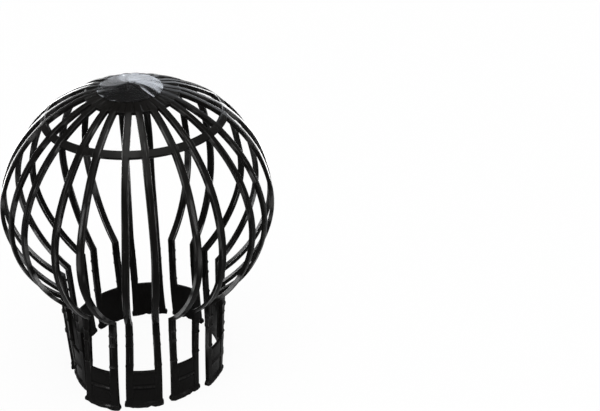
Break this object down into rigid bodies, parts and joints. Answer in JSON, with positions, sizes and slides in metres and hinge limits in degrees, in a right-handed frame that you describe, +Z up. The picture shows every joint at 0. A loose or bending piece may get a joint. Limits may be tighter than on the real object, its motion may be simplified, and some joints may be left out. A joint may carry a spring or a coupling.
{
  "type": "downpipe leaf filter",
  "caption": "Balloon-shaped moulded cage of ribs with a conical cap, one hoop and ridged spring legs that push into a round downpipe outlet and keep leaves out.",
  "frame": {"origin": "centre of the ring of feet, on the plane that the feet stand on", "axes": "+Z up along the cage's axis, from the feet to the cap; one leg faces -Y and one faces +X"},
  "size_m": [0.1138, 0.1138, 0.1346],
  "materials": {
    "guard_plastic": "black moulded polypropylene, low sheen",
    "clear_film": "clear self-adhesive film, glossy and slightly wrinkled"
  },
  "bodies": {
    "root": {"leaf_guard": "guard_plastic", "top_label": "clear_film"}
  },
  "joints": []
}
